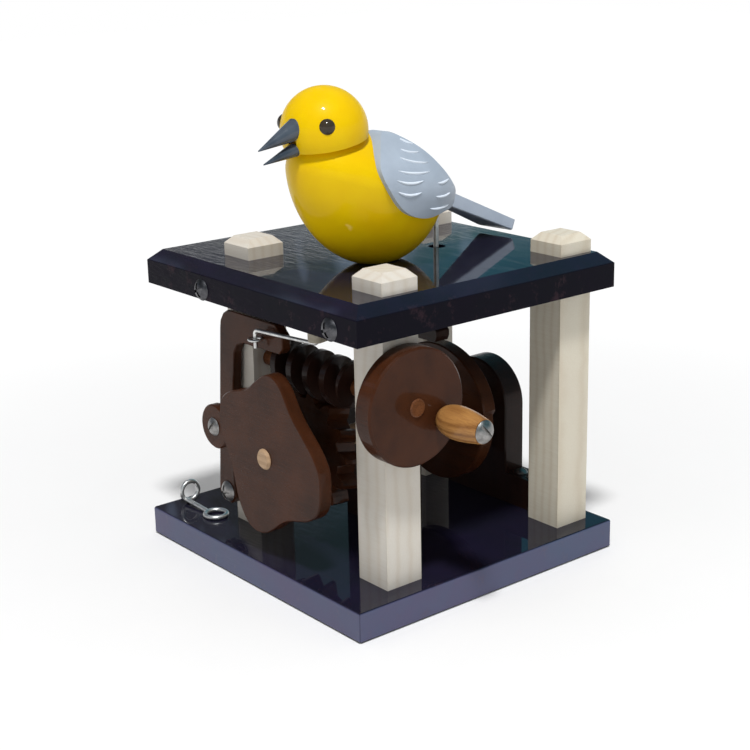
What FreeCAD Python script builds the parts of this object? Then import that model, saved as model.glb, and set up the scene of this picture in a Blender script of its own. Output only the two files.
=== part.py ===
import FreeCAD, Part
import math
import os

import Sketcher
from FreeCAD import Placement, Rotation, Vector

os.makedirs("parts", exist_ok=True)
doc = FreeCAD.newDocument("CrankAutomaton")

# Lengths in mm. The origin is the middle of the base's underside, +X runs along the
# crank shaft towards the crank, -Y is the side of the front cam, +Z is up.
sizes = {
    "baseLength": 161.0,
    "baseDepth": 152.0,
    "baseThick": 13.5,
    "topLength": 156.0,
    "topDepth": 148.0,
    "topUnder": 126.0,
    "topRim": 11.0,
    "topBevel": 5.0,
    "topBevelIn": 5.5,
    "postSide": 19.0,
    "postTop": 150.9,
    "postChamfer": 3.3,
    "crankHeight": 95.7,
    "crankShaftRadius": 3.97,
    "crankWheelRadius": 25.4,
    "crankWheelThick": 9.5,
    "wormLength": 50.0,
    "wormTip": 11.0,
    "wormRoot": 5.0,
    "wormPitch": 11.938,
    "wheelRoot": 23.2,
    "wheelTip": 29.0,
    "wheelThick": 10.0,
    "wheelTeeth": 14,
    "camShaftRadius": 4.75,
    "camHeight": 61.1,
    "frontCamThick": 6.5,
    "rearCamThick": 7.5,
    "blockThick": 12.0,
    "blockRadius": 21.0,
    "runningFit": 0.06,
    "gluedFit": 0.03,
    "leverThick": 4.7,
    "rollerRadius": 10.6,
    "rollerThick": 4.5,
    "rockerThick": 8.0,
    "spindleRadius": 3.0,
    "headRadius": 18.6,
    "tailRoot": 7.0,
    "tailTip": 5.0,
}

sheet = doc.addObject("Spreadsheet::Sheet", "Sizes")
for row, (name, value) in enumerate(sizes.items(), start=1):
    sheet.set("A%d" % row, name)
    sheet.set("B%d" % row, "%.6g" % value)
    sheet.setAlias("B%d" % row, name)
doc.recompute()

finished = {}

# Positions shared by several pieces
crankY = -43.5
crankZ = sizes["crankHeight"]
handleOffset = (14.0, -7.3)
camX = 9.6
camZ = sizes["camHeight"]
postCentres = {
    "near_post": (61.5, -43.5),
    "right_post": (61.5, 59.0),
    "left_post": (-31.5, -43.5),
    "far_post": (-31.5, 59.0),
}
topScrewHeight = 130.5
topScrewXs = (-31.5, 61.5)
topFrontY = 1.5 - sizes["topDepth"] / 2
leverFront = -59.4
leverBack = leverFront + sizes["leverThick"]
leverPivot = (-38.4, 29.3)
rollerCentre = (-40.4, 62.0)
spindleAt = (18.2, -13.7)
steerEnd = (32.2, -56.9)
eyeCentre = (-5.0, -62.95, 111.1)
linkHeight = 115.4
rockerPivot = (-31.5, 100.6)
rockerFront = 23.6
pushRodAt = (14.4, 26.1)
birdFloor = 142.0
birdHeading = 96.0
tailPivot = (29.0, 29.2)
tailSlope = 23.6
# Turn of the worm wheel about its shaft that brings a gap over the worm's thread
wheelPhase = 13.65


def planeOf(body, role):
    for feature in body.Origin.OriginFeatures:
        if feature.Role == role:
            return feature
    raise ValueError(role)


def newBody(node):
    body = doc.addObject("PartDesign::Body", node)
    body.Label = node
    finished[node] = body
    return body


def newSketch(body, role, offset=0.0, turn=0.0):
    sketch = body.newObject("Sketcher::SketchObject", "Outline")
    sketch.AttachmentSupport = [(planeOf(body, role), "")]
    sketch.MapMode = "FlatFace"
    sketch.AttachmentOffset = Placement(Vector(0, 0, offset), Rotation(Vector(0, 0, 1), turn))
    return sketch


def bindTo(thing, path, name):
    thing.setExpression(path, "Sizes." + name)


def holdPoint(sketch, index, spot, x, y):
    for kind, axis, value in (("DistanceX", -2, x), ("DistanceY", -1, y)):
        if abs(value) < 1e-9:
            sketch.addConstraint(Sketcher.Constraint("PointOnObject", index, spot, axis))
        else:
            sketch.addConstraint(Sketcher.Constraint(kind, -1, 1, index, spot, value))


def addCircle(sketch, radius, x=0.0, y=0.0, bound=None):
    index = sketch.addGeometry(Part.Circle(Vector(x, y, 0), Vector(0, 0, 1), radius), False)
    rule = sketch.addConstraint(Sketcher.Constraint("Radius", index, radius))
    if bound:
        bindTo(sketch, "Constraints[%d]" % rule, bound)
    holdPoint(sketch, index, 3, x, y)


def addLines(sketch, points):
    first = sketch.GeometryCount
    count = len(points)
    for i in range(count):
        x1, y1 = points[i]
        x2, y2 = points[(i + 1) % count]
        sketch.addGeometry(Part.LineSegment(Vector(x1, y1, 0), Vector(x2, y2, 0)), False)
    for i in range(count):
        following = first + (i + 1) % count
        sketch.addConstraint(Sketcher.Constraint("Coincident", first + i, 2, following, 1))
    return first


def addRectangle(sketch, width, height, x=0.0, y=0.0, boundWidth=None, boundHeight=None):
    left, right = x - width / 2, x + width / 2
    low, high = y - height / 2, y + height / 2
    first = addLines(sketch, [(left, low), (right, low), (right, high), (left, high)])
    for side in (0, 2):
        sketch.addConstraint(Sketcher.Constraint("Horizontal", first + side))
    for side in (1, 3):
        sketch.addConstraint(Sketcher.Constraint("Vertical", first + side))
    rule = sketch.addConstraint(Sketcher.Constraint("DistanceX", first, 1, first, 2, width))
    if boundWidth:
        bindTo(sketch, "Constraints[%d]" % rule, boundWidth)
    rule = sketch.addConstraint(Sketcher.Constraint("DistanceY", first + 1, 1, first + 1, 2, height))
    if boundHeight:
        bindTo(sketch, "Constraints[%d]" % rule, boundHeight)
    if abs(x) < 1e-9 and abs(y) < 1e-9:
        sketch.addConstraint(Sketcher.Constraint("Symmetric", first, 1, first + 2, 1, -1, 1))


def addSpline(sketch, points):
    curve = Part.BSplineCurve()
    curve.interpolate([Vector(x, y, 0) for x, y in points], PeriodicFlag=True)
    sketch.addGeometry(curve, False)


def pad(body, sketch, length, bound=None, reverse=False):
    feature = body.newObject("PartDesign::Pad", "Pad")
    feature.Profile = sketch
    feature.Length = length
    feature.Reversed = reverse
    if bound:
        bindTo(feature, "Length", bound)
    doc.recompute()
    return feature


def pocket(body, sketch, length, reverse=False):
    feature = body.newObject("PartDesign::Pocket", "Pocket")
    feature.Profile = sketch
    feature.Length = length
    feature.Reversed = reverse
    doc.recompute()
    return feature


def revolve(body, sketch, axis):
    feature = body.newObject("PartDesign::Revolution", "Revolution")
    feature.Profile = sketch
    feature.ReferenceAxis = (sketch, [axis])
    feature.Angle = 360.0
    doc.recompute()
    return feature


def loft(body, sketches, ruled=False):
    feature = body.newObject("PartDesign::AdditiveLoft", "Loft")
    feature.Profile = sketches[0]
    feature.Sections = sketches[1:]
    feature.Ruled = ruled
    doc.recompute()
    return feature


def edgesWhere(feature, test):
    names = []
    for i, edge in enumerate(feature.Shape.Edges, start=1):
        if test(edge):
            names.append("Edge%d" % i)
    return names


def soften(body, feature, kind, size, test, bound=None):
    dressing = body.newObject("PartDesign::" + kind, kind)
    dressing.Base = (feature, edgesWhere(feature, test))
    prop = "Size" if kind == "Chamfer" else "Radius"
    setattr(dressing, prop, size)
    if bound:
        bindTo(dressing, prop, bound)
    doc.recompute()
    return dressing


def drill(body, role, offset, x, y, radius, depth, reverse=False):
    sketch = newSketch(body, role, offset)
    addCircle(sketch, radius, x, y)
    return pocket(body, sketch, depth, reverse)


def place(obj, x, y, z, rotation=None):
    obj.Placement = Placement(Vector(x, y, z), rotation or Rotation())


def polar(radius, degrees, centre=(0.0, 0.0)):
    angle = math.radians(degrees)
    return centre[0] + radius * math.cos(angle), centre[1] + radius * math.sin(angle)


# Rotations that carry a local +Z axis onto -Y, +Y, +X and -Z
towardsFront = Rotation(Vector(1, 0, 0), 90)
towardsBack = Rotation(Vector(1, 0, 0), -90)
towardsCrank = Rotation(Vector(0, 1, 0), 90)
towardsFloor = Rotation(Vector(1, 0, 0), 180)
birdTurn = Rotation(Vector(0, 0, 1), birdHeading)


# ---- Base, posts and top plate

def buildBase():
    body = newBody("base_plate")
    outline = newSketch(body, "XY_Plane")
    addRectangle(outline, sizes["baseLength"], sizes["baseDepth"],
                 boundWidth="baseLength", boundHeight="baseDepth")
    slab = pad(body, outline, sizes["baseThick"], "baseThick")
    soften(body, slab, "Chamfer", 0.7, lambda edge: True)
    heads = newSketch(body, "XY_Plane")
    shanks = newSketch(body, "XY_Plane")
    for x, y in postCentres.values():
        addCircle(heads, 4.4, x, y)
        addCircle(shanks, 2.1, x, y)
    pocket(body, heads, 3.4, reverse=True)
    pocket(body, shanks, sizes["baseThick"] + 1, reverse=True)


def buildTop():
    body = newBody("top_plate")
    length, depth = sizes["topLength"], sizes["topDepth"]
    rim, inset = sizes["topRim"], sizes["topBevelIn"]
    low = newSketch(body, "XY_Plane")
    addRectangle(low, length, depth, boundWidth="topLength", boundHeight="topDepth")
    pad(body, low, rim, "topRim")
    lower = newSketch(body, "XY_Plane", rim)
    addRectangle(lower, length, depth, boundWidth="topLength", boundHeight="topDepth")
    upper = newSketch(body, "XY_Plane", rim + sizes["topBevel"])
    addRectangle(upper, length - 2 * inset, depth - 2 * inset)
    loft(body, [lower, upper], ruled=True)
    postHoles = newSketch(body, "XY_Plane")
    hole = sizes["postSide"] + 0.1
    for x, y in postCentres.values():
        addRectangle(postHoles, hole, hole, x - 1.0, y - 1.5)
    pocket(body, postHoles, 20, reverse=True)
    roundHoles = newSketch(body, "XY_Plane")
    addCircle(roundHoles, sizes["spindleRadius"] + sizes["runningFit"],
              spindleAt[0] - 1.0, spindleAt[1] - 1.5)
    addCircle(roundHoles, 4.0, 14.0 - 1.0, 27.0 - 1.5)
    pocket(body, roundHoles, 20, reverse=True)
    for x in topScrewXs:
        drill(body, "XZ_Plane", depth / 2 + 1, x - 1.0,
              topScrewHeight - sizes["topUnder"], 1.95, 22)
    place(body, 1.0, 1.5, sizes["topUnder"])


def buildPost(node, x, y):
    body = newBody(node)
    side = sizes["postSide"]
    height = sizes["postTop"] - sizes["baseThick"]
    outline = newSketch(body, "XY_Plane")
    addRectangle(outline, side, side, boundWidth="postSide", boundHeight="postSide")
    bar = pad(body, outline, height)
    soften(body, bar, "Chamfer", sizes["postChamfer"],
           lambda edge: edge.BoundBox.ZMin > height - 0.01, "postChamfer")
    drill(body, "XY_Plane", 0, 0, 0, 1.85, 22, reverse=True)
    lift = -sizes["baseThick"]
    if y < 0:
        drill(body, "YZ_Plane", side / 2 + 1, 0, crankZ + lift,
              sizes["crankShaftRadius"] + sizes["runningFit"], side + 2)
        drill(body, "XZ_Plane", side / 2 + 1, 0, topScrewHeight + lift, 1.95, 11)
    if node == "left_post":
        drill(body, "XZ_Plane", side / 2 + 1, leverPivot[0] - x, leverPivot[1] + lift, 1.75, 14)
    if node == "far_post":
        drill(body, "XZ_Plane", side / 2 + 1, 0, rockerPivot[1] + lift, 1.75, 13)
    place(body, x, y, sizes["baseThick"])


# ---- Screws: a domed head above a plain shank, with a slot or a cross recess

def screwShape(headRadius, headHeight, shankRadius, shankLength, cross, flat=False):
    if flat:
        head = Part.makeCone(shankRadius, headRadius, headHeight, Vector(0, 0, -headHeight))
    else:
        ball = (headRadius ** 2 + headHeight ** 2) / (2 * headHeight)
        sphere = Part.makeSphere(ball, Vector(0, 0, headHeight - ball))
        head = sphere.common(Part.makeCylinder(headRadius, headHeight + 1))
    width = headRadius * 0.26
    reach = headRadius * (1.3 if cross else 2.4)
    depth = headHeight * 0.55
    topLevel = 0.0 if flat else headHeight
    slot = Part.makeBox(reach, width, depth + 1, Vector(-reach / 2, -width / 2, topLevel - depth))
    head = head.cut(slot)
    if cross:
        slot.rotate(Vector(0, 0, 0), Vector(0, 0, 1), 90)
        head = head.cut(slot)
    shankTop = -headHeight + 0.2 if flat else 0.2
    shank = Part.makeCylinder(shankRadius, shankLength + 0.2, Vector(0, 0, -shankLength))
    if not flat:
        shank = shank.cut(Part.makeBox(20, 20, 5, Vector(-10, -10, shankTop)))
    return head.fuse(shank).removeSplitter()


def screws(node, spots, rotation, spin=0.0, **form):
    shape = screwShape(**form)
    turned = rotation.multiply(Rotation(Vector(0, 0, 1), spin))
    obj = doc.addObject("Part::Feature", node)
    obj.Label = node
    if len(spots) == 1:
        obj.Shape = shape
        obj.Placement = Placement(Vector(*spots[0]), turned)
    else:
        copies = []
        for spot in spots:
            copy = shape.copy()
            copy.Placement = Placement(Vector(*spot) - Vector(*spots[0]), turned)
            copies.append(copy)
        obj.Shape = Part.makeCompound(copies)
        obj.Placement = Placement(Vector(*spots[0]), Rotation())
    finished[node] = obj


def buildFrameScrews():
    screws("base_screws", [(x, y, 3.2) for x, y in postCentres.values()], towardsFloor,
           headRadius=4.2, headHeight=2.4, shankRadius=1.8, shankLength=30.0, cross=True)
    screws("top_plate_screws", [(x, topFrontY - 0.05, topScrewHeight) for x in topScrewXs],
           towardsFront, spin=20, headRadius=5.0, headHeight=2.6, shankRadius=1.9,
           shankLength=28.0, cross=True)


# ---- Crank: wheel, shaft, worm, handle

def buildCrank():
    wheelFace = 71.5
    body = newBody("crank_wheel")
    outline = newSketch(body, "YZ_Plane")
    addCircle(outline, sizes["crankWheelRadius"], bound="crankWheelRadius")
    addCircle(outline, sizes["crankShaftRadius"] + sizes["gluedFit"])
    disc = pad(body, outline, sizes["crankWheelThick"], "crankWheelThick")
    rim = sizes["crankWheelRadius"]
    soften(body, disc, "Chamfer", 0.8, lambda edge: abs(edge.BoundBox.YLength - 2 * rim) < 0.5)
    drill(body, "YZ_Plane", sizes["crankWheelThick"] + 1, handleOffset[0], handleOffset[1], 1.95, 9.5)
    place(body, wheelFace, crankY, crankZ)

    body = newBody("crank_shaft")
    outline = newSketch(body, "YZ_Plane")
    addCircle(outline, sizes["crankShaftRadius"], bound="crankShaftRadius")
    rod = pad(body, outline, 122.2)
    soften(body, rod, "Chamfer", 0.5, lambda edge: edge.BoundBox.XLength < 0.01)
    place(body, -40.6, crankY, crankZ)

    handleStart = wheelFace + sizes["crankWheelThick"] + 0.3
    body = newBody("crank_handle")
    outline = newSketch(body, "XZ_Plane")
    profile = [(0, 2.12), (0, 4.6), (1.4, 5.6), (4.4, 6.7), (8, 7.2), (12, 7.15),
               (17, 6.6), (21.5, 5.8), (24.4, 5.2), (24.4, 2.12)]
    lower, upper = profile[:2], profile[-2:]
    curve = Part.BSplineCurve()
    curve.interpolate([Vector(x, y, 0) for x, y in profile[1:-1]])
    outline.addGeometry(Part.LineSegment(Vector(*lower[0], 0), Vector(*lower[1], 0)), False)
    outline.addGeometry(curve, False)
    outline.addGeometry(Part.LineSegment(Vector(*upper[0], 0), Vector(*upper[1], 0)), False)
    outline.addGeometry(Part.LineSegment(Vector(*upper[1], 0), Vector(*lower[0], 0)), False)
    for i in range(4):
        outline.addConstraint(Sketcher.Constraint("Coincident", i, 2, (i + 1) % 4, 1))
    revolve(body, outline, "H_Axis")
    handleY, handleZ = crankY + handleOffset[0], crankZ + handleOffset[1]
    place(body, handleStart, handleY, handleZ)

    screws("handle_screw", [(handleStart + 24.7, handleY, handleZ)], towardsCrank,
           spin=40, headRadius=5.0, headHeight=2.5, shankRadius=1.9, shankLength=33.0,
           cross=False)


def buildWorm():
    """The thread is one trapezoid swept round the shaft, its two ends cut off square."""
    body = newBody("worm")
    length, pitch = sizes["wormLength"], sizes["wormPitch"]
    root, tip = sizes["wormRoot"], sizes["wormTip"]
    hub = newSketch(body, "YZ_Plane")
    addCircle(hub, root, bound="wormRoot")
    addCircle(hub, sizes["crankShaftRadius"] + sizes["gluedFit"])
    pad(body, hub, length, "wormLength")
    thread = newSketch(body, "XZ_Plane")
    flank = math.tan(math.radians(15))
    pitchRadius = (root + tip) / 2
    start = -pitch
    foot = root - 0.4
    halfFoot = 2.65 + (pitchRadius - foot) * flank
    halfTip = 2.65 - (tip - pitchRadius) * flank
    addLines(thread, [(start - halfFoot, foot), (start + halfFoot, foot),
                      (start + halfTip, tip), (start - halfTip, tip)])
    helix = body.newObject("PartDesign::AdditiveHelix", "Thread")
    helix.Profile = thread
    helix.ReferenceAxis = (thread, ["H_Axis"])
    helix.Mode = 0
    helix.Pitch = pitch
    helix.Height = length + 2 * pitch
    helix.Angle = 0
    helix.Reversed = False
    doc.recompute()
    ends = newSketch(body, "XZ_Plane", -20)
    addRectangle(ends, 30, 40, -15, 0)
    addRectangle(ends, 30, 40, length + 15, 0)
    pocket(body, ends, 40, reverse=True)
    place(body, -8.0, crankY, crankZ)


def buildWormWheel():
    """Each tooth is a loft that twists across the wheel by the worm's lead angle."""
    body = newBody("worm_wheel")
    thick, root, tip = sizes["wheelThick"], sizes["wheelRoot"], sizes["wheelTip"]
    disc = newSketch(body, "XZ_Plane")
    addCircle(disc, root, bound="wheelRoot")
    addCircle(disc, sizes["camShaftRadius"] + sizes["gluedFit"])
    pad(body, disc, thick, "wheelThick")
    pitchRadius = sizes["wheelTeeth"] * sizes["wormPitch"] / (2 * math.pi)
    lead = sizes["wormPitch"] / (2 * math.pi * 8.0)
    twist = math.degrees(thick * lead / pitchRadius)
    sections = []
    # (radius, half the tooth's width) from the root to the tip
    flank = [(root - 0.5, 3.3), (24.5, 2.95), (pitchRadius, 2.3), (28.0, 1.6), (tip, 0.95)]
    outline = [(x, -y) for x, y in flank] + [(x, y) for x, y in reversed(flank)]
    for offset, turn in ((0.0, -twist / 2), (thick, twist / 2)):
        section = newSketch(body, "XZ_Plane", offset)
        angle = math.radians(90 + turn)
        turned = [(x * math.cos(angle) - y * math.sin(angle),
                   x * math.sin(angle) + y * math.cos(angle)) for x, y in outline]
        addLines(section, turned)
        sections.append(section)
    tooth = loft(body, sections, ruled=True)
    teeth = body.newObject("PartDesign::PolarPattern", "Teeth")
    teeth.Originals = [tooth]
    teeth.Axis = (disc, ["N_Axis"])
    teeth.Angle = 360
    teeth.Occurrences = int(sizes["wheelTeeth"])
    body.Tip = teeth
    doc.recompute()
    place(body, camX, crankY + thick / 2, camZ,
          Rotation(Vector(0, 1, 0), wheelPhase))


# ---- Cam shaft, cams and bearing blocks

def buildCamShaft():
    body = newBody("cam_shaft")
    outline = newSketch(body, "XZ_Plane")
    addCircle(outline, sizes["camShaftRadius"], bound="camShaftRadius")
    rod = pad(body, outline, 139.9)
    soften(body, rod, "Chamfer", 1.0, lambda edge: edge.BoundBox.YLength < 0.01)
    place(body, camX, 67.6, camZ)


def buildCams():
    body = newBody("front_cam")
    # (angle about the shaft, radius), four lobes and the hollows between them
    lobes = ((8, 39.0), (29, 33.7), (42, 32.2), (56, 33.6), (70, 38.4), (80, 40.1),
             (93, 37.0), (112, 32.0), (128, 34.0), (147, 38.1), (162, 36.3), (180, 31.4),
             (200, 28.2), (220, 31.1), (236, 35.6), (250, 38.2), (267, 35.8), (283, 31.0),
             (298, 29.2), (311, 31.0), (326, 36.6), (341, 40.6), (355, 40.1))
    outline = newSketch(body, "XZ_Plane")
    addSpline(outline, [polar(radius, angle) for angle, radius in lobes])
    addCircle(outline, sizes["camShaftRadius"] + sizes["gluedFit"])
    plate = pad(body, outline, sizes["frontCamThick"], "frontCamThick")
    soften(body, plate, "Chamfer", 0.5, lambda edge: edge.Length > 150)
    place(body, camX, -64.5, camZ)

    body = newBody("rear_cam")
    outline = newSketch(body, "XZ_Plane")
    rise = [(12, 35.5), (38, 35.4), (62, 34.4), (95, 33.6), (150, 33.2), (210, 33.0),
            (270, 33.1), (320, 33.5), (350, 33.6), (368, 33.4)]
    curve = Part.BSplineCurve()
    curve.interpolate([Vector(*polar(radius, angle), 0) for angle, radius in rise])
    outline.addGeometry(curve, False)
    startPoint = Vector(*polar(rise[0][1], rise[0][0]), 0)
    endPoint = Vector(*polar(rise[-1][1], rise[-1][0]), 0)
    outline.addGeometry(Part.LineSegment(endPoint, startPoint), False)
    outline.addConstraint(Sketcher.Constraint("Coincident", 0, 2, 1, 1))
    outline.addConstraint(Sketcher.Constraint("Coincident", 1, 2, 0, 1))
    addCircle(outline, sizes["camShaftRadius"] + sizes["gluedFit"])
    plate = pad(body, outline, sizes["rearCamThick"], "rearCamThick")
    soften(body, plate, "Chamfer", 0.5, lambda edge: edge.Length > 150)
    place(body, camX, 28.0 + sizes["rearCamThick"], camZ)


def addArch(sketch, radius, height):
    first = sketch.GeometryCount
    arc = Part.ArcOfCircle(Part.Circle(Vector(0, 0, 0), Vector(0, 0, 1), radius), 0, math.pi)
    sketch.addGeometry(arc, False)
    corners = [(-radius, 0), (-radius, -height), (radius, -height), (radius, 0)]
    for (x1, y1), (x2, y2) in zip(corners, corners[1:]):
        sketch.addGeometry(Part.LineSegment(Vector(x1, y1, 0), Vector(x2, y2, 0)), False)
    for i in range(4):
        spots = (first + i, 2, first + (i + 1) % 4, 1)
        sketch.addConstraint(Sketcher.Constraint("Coincident", *spots))


def buildBearingBlocks():
    height = camZ - sizes["baseThick"] - 0.02
    footHeight = 28.6
    for node, back in (("middle_bearing_block", 2.0), ("rear_bearing_block", 67.0)):
        body = newBody(node)
        arch = newSketch(body, "XZ_Plane")
        addArch(arch, sizes["blockRadius"], height)
        block = pad(body, arch, sizes["blockThick"], "blockThick")
        soften(body, block, "Chamfer", 0.6,
               lambda edge: edge.BoundBox.YLength < 0.01 and edge.BoundBox.ZMax > -height + 0.01)
        if node == "rear_bearing_block":
            foot = newSketch(body, "XZ_Plane")
            footTop = footHeight - camZ
            addLines(foot, [(sizes["blockRadius"] - 1, -height), (39.6, -height),
                            (39.6, footTop - 2), (37.6, footTop), (sizes["blockRadius"] - 1, footTop)])
            pad(body, foot, sizes["blockThick"], "blockThick")
            for x in (25.7, 33.6):
                drill(body, "XY_Plane", footTop + 1, x, -sizes["blockThick"] / 2, 1.85, 14)
        drill(body, "XZ_Plane", sizes["blockThick"] + 1, 0, 0,
              sizes["camShaftRadius"] + sizes["runningFit"], 14)
        place(body, camX, back, camZ)
    spots = [(camX + x, 67.0 - sizes["blockThick"] / 2, footHeight + 0.05) for x in (25.7, 33.6)]
    screws("bearing_block_screws", spots, Rotation(), spin=30, headRadius=3.4,
           headHeight=2.0, shankRadius=1.8, shankLength=12.5, cross=False)


# ---- Front lever, roller, link and steering arm

def buildFrontLever():
    body = newBody("front_lever")
    outline = newSketch(body, "XZ_Plane")
    px, pz = leverPivot
    # outer left side up, along the top, down the arm's end and back to the foot
    points = [(-45.9, 28.0), (-41.9, 73.5), (-38.6, 109.5), (-37.9, 113.2), (-35.6, 116.6),
              (-32.2, 118.6), (-28.6, 119.0), (5.0, 119.0), (10.0, 114.5), (10.0, 108.5),
              (7.5, 106.0), (-20.5, 105.4), (-25.6, 103.6), (-28.2, 99.4), (-29.8, 85.9),
              (-33.0, 55.0), (-33.2, 27.0), (-36.0, 23.6), (-42.8, 23.8)]
    addLines(outline, [(x - px, z - pz) for x, z in points])
    plate = pad(body, outline, sizes["leverThick"], "leverThick")

    def isCorner(edge):
        return abs(edge.BoundBox.YLength - sizes["leverThick"]) < 0.01

    rounded = soften(body, plate, "Fillet", 1.9, isCorner)
    soften(body, rounded, "Chamfer", 0.4, lambda edge: edge.BoundBox.YLength < 0.01)
    front = sizes["leverThick"] + 1
    drill(body, "XZ_Plane", front, 0, 0, 1.98, 8)
    drill(body, "XZ_Plane", front, rollerCentre[0] - px, rollerCentre[1] - pz, 1.5, 8)
    drill(body, "XZ_Plane", front, eyeCentre[0] - px, eyeCentre[2] - pz, 0.65, 8)
    place(body, px, leverBack, pz)

    washer = newBody("lever_washer")
    outline = newSketch(washer, "XZ_Plane")
    addCircle(outline, 4.6)
    addCircle(outline, 2.0)
    pad(washer, outline, 1.2)
    place(washer, px, -53.2, pz)
    screws("lever_pivot_screw", [(px, leverFront - 0.3, pz)], towardsFront, spin=15,
           headRadius=5.0, headHeight=2.5, shankRadius=1.7, shankLength=17.5, cross=True)

    body = newBody("roller")
    rollerBack = leverFront - 0.3
    outline = newSketch(body, "XZ_Plane")
    addCircle(outline, sizes["rollerRadius"], bound="rollerRadius")
    addCircle(outline, 1.76)
    disc = pad(body, outline, sizes["rollerThick"], "rollerThick")
    soften(body, disc, "Chamfer", 0.6, lambda edge: edge.Length > 50)
    place(body, rollerCentre[0], rollerBack, rollerCentre[1])
    head = rollerBack - sizes["rollerThick"] - 0.2
    screws("roller_screw", [(rollerCentre[0], head, rollerCentre[1])], towardsFront, spin=50,
           headRadius=4.4, headHeight=2.2, shankRadius=1.4, shankLength=9.4, cross=False)


def addNode(node, shape, placement=None):
    obj = doc.addObject("Part::Feature", node)
    obj.Label = node
    obj.Shape = shape
    if placement:
        obj.Placement = placement
    finished[node] = obj
    return obj


def bentWire(points, bend, radius):
    """A round wire along straight runs joined by arcs of one bending radius."""
    corners = [Vector(*point) for point in points]
    edges = []
    start = corners[0]
    for before, corner, after in zip(corners, corners[1:], corners[2:]):
        inward = (before - corner).normalize()
        outward = (after - corner).normalize()
        half = inward.getAngle(outward) / 2
        reach = bend / math.tan(half)
        first = corner + inward * reach
        last = corner + outward * reach
        middle = (inward + outward).normalize()
        centre = corner + middle * (bend / math.sin(half))
        edges.append(Part.LineSegment(start, first).toShape())
        edges.append(Part.Arc(first, centre - middle * bend, last).toShape())
        start = last
    edges.append(Part.LineSegment(start, corners[-1]).toShape())
    path = Part.Wire(edges)
    tangent = (corners[1] - corners[0]).normalize()
    section = Part.Wire([Part.Circle(corners[0], tangent, radius).toShape()])
    return path.makePipeShell([section], True, True)


def buildLinkage():
    ex, ey, ez = eyeCentre
    ring = Part.makeTorus(2.9, 0.6, Vector(0, 0, 0), Vector(0, 0, 1))
    shank = Part.makeCylinder(0.6, 5.4, Vector(0, 2.6, 0), Vector(0, 1, 0))
    addNode("lever_eye", ring.fuse(shank).removeSplitter(), Placement(Vector(ex, ey, ez), Rotation()))

    rise = linkHeight
    wire = bentWire([(0, 0, -8.2), (0, 0, 0), (steerEnd[0] - ex, steerEnd[1] - ey, 0),
                     (steerEnd[0] - ex, steerEnd[1] - ey, 9.0)], 1.9, 0.9)
    addNode("link_wire", wire, Placement(Vector(ex, ey, rise), Rotation()))

    body = newBody("steering_arm")
    dx, dy = steerEnd[0] - spindleAt[0], steerEnd[1] - spindleAt[1]
    reach = math.hypot(dx, dy)
    outline = newSketch(body, "XY_Plane")
    addLines(outline, [(-8, -6.0), (8, -6.0), (reach + 3.8, -3.3), (reach + 3.8, 3.3), (8, 6.0),
                       (-8, 6.0)])
    bar = pad(body, outline, 5.4)

    def isUpright(edge):
        return abs(edge.BoundBox.ZLength - 5.4) < 0.01

    bar = soften(body, bar, "Fillet", 2.5, isUpright)
    soften(body, bar, "Chamfer", 0.4, lambda edge: edge.BoundBox.ZLength < 0.01)
    drill(body, "XY_Plane", 6, 0, 0, sizes["spindleRadius"] + sizes["gluedFit"], 7)
    drill(body, "XY_Plane", 6, reach, 0, 1.2, 7)
    place(body, spindleAt[0], spindleAt[1], 116.6,
          Rotation(Vector(0, 0, 1), math.degrees(math.atan2(dy, dx))))

    body = newBody("spindle")
    outline = newSketch(body, "XY_Plane")
    addCircle(outline, sizes["spindleRadius"], bound="spindleRadius")
    rod = pad(body, outline, 44.0)
    soften(body, rod, "Chamfer", 0.5, lambda edge: edge.BoundBox.ZLength < 0.01)
    place(body, spindleAt[0], spindleAt[1], 115.2)

    body = newBody("spindle_collar")
    outline = newSketch(body, "XY_Plane")
    addCircle(outline, 7.0)
    addCircle(outline, sizes["spindleRadius"] + sizes["gluedFit"])
    pad(body, outline, 3.2)
    place(body, spindleAt[0], spindleAt[1], 122.3)


# ---- Rear rocker and push rod

def buildRocker():
    body = newBody("rear_rocker")
    outline = newSketch(body, "XZ_Plane")
    end = 16.8 - rockerPivot[0]
    low, high = 98.0 - rockerPivot[1], 103.6 - rockerPivot[1]
    nose = 96.95 - rockerPivot[1]
    noseLeft, noseRight = -1.6 - rockerPivot[0], 15.6 - rockerPivot[0]
    points = [(-6.0, -4.5), (6.0, -4.5), (noseLeft - 4.0, low), (noseLeft, nose),
              (noseRight, nose), (end, low + 1.6), (end, high - 1.4), (end - 2.0, high),
              (8.0, high + 0.6), (5.0, 5.4), (-5.0, 5.4)]
    addLines(outline, points)
    plate = pad(body, outline, sizes["rockerThick"], "rockerThick")
    soften(body, plate, "Fillet", 0.8, lambda edge: edge.BoundBox.YLength > 7.9)
    drill(body, "XZ_Plane", sizes["rockerThick"] + 1, 0, 0, 1.98, 10)
    place(body, rockerPivot[0], rockerFront + sizes["rockerThick"], rockerPivot[1])

    spacer = newBody("rocker_spacer")
    outline = newSketch(spacer, "XZ_Plane")
    addCircle(outline, 4.2)
    addCircle(outline, 2.0)
    back = postCentres["far_post"][1] - sizes["postSide"] / 2 - 0.1
    pad(spacer, outline, back - rockerFront - sizes["rockerThick"] - 0.4)
    place(spacer, rockerPivot[0], back, rockerPivot[1])
    screws("rocker_pivot_screw", [(rockerPivot[0], rockerFront - 0.4, rockerPivot[1])],
           towardsFront, spin=70, headRadius=4.4, headHeight=2.2, shankRadius=1.7,
           shankLength=37.5, cross=False)

    body = newBody("push_rod")
    outline = newSketch(body, "XY_Plane")
    addCircle(outline, 1.25)
    rod = pad(body, outline, 57.1)
    soften(body, rod, "Chamfer", 0.3, lambda edge: edge.BoundBox.ZLength < 0.01)
    place(body, pushRodAt[0], pushRodAt[1], 104.3)


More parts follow.
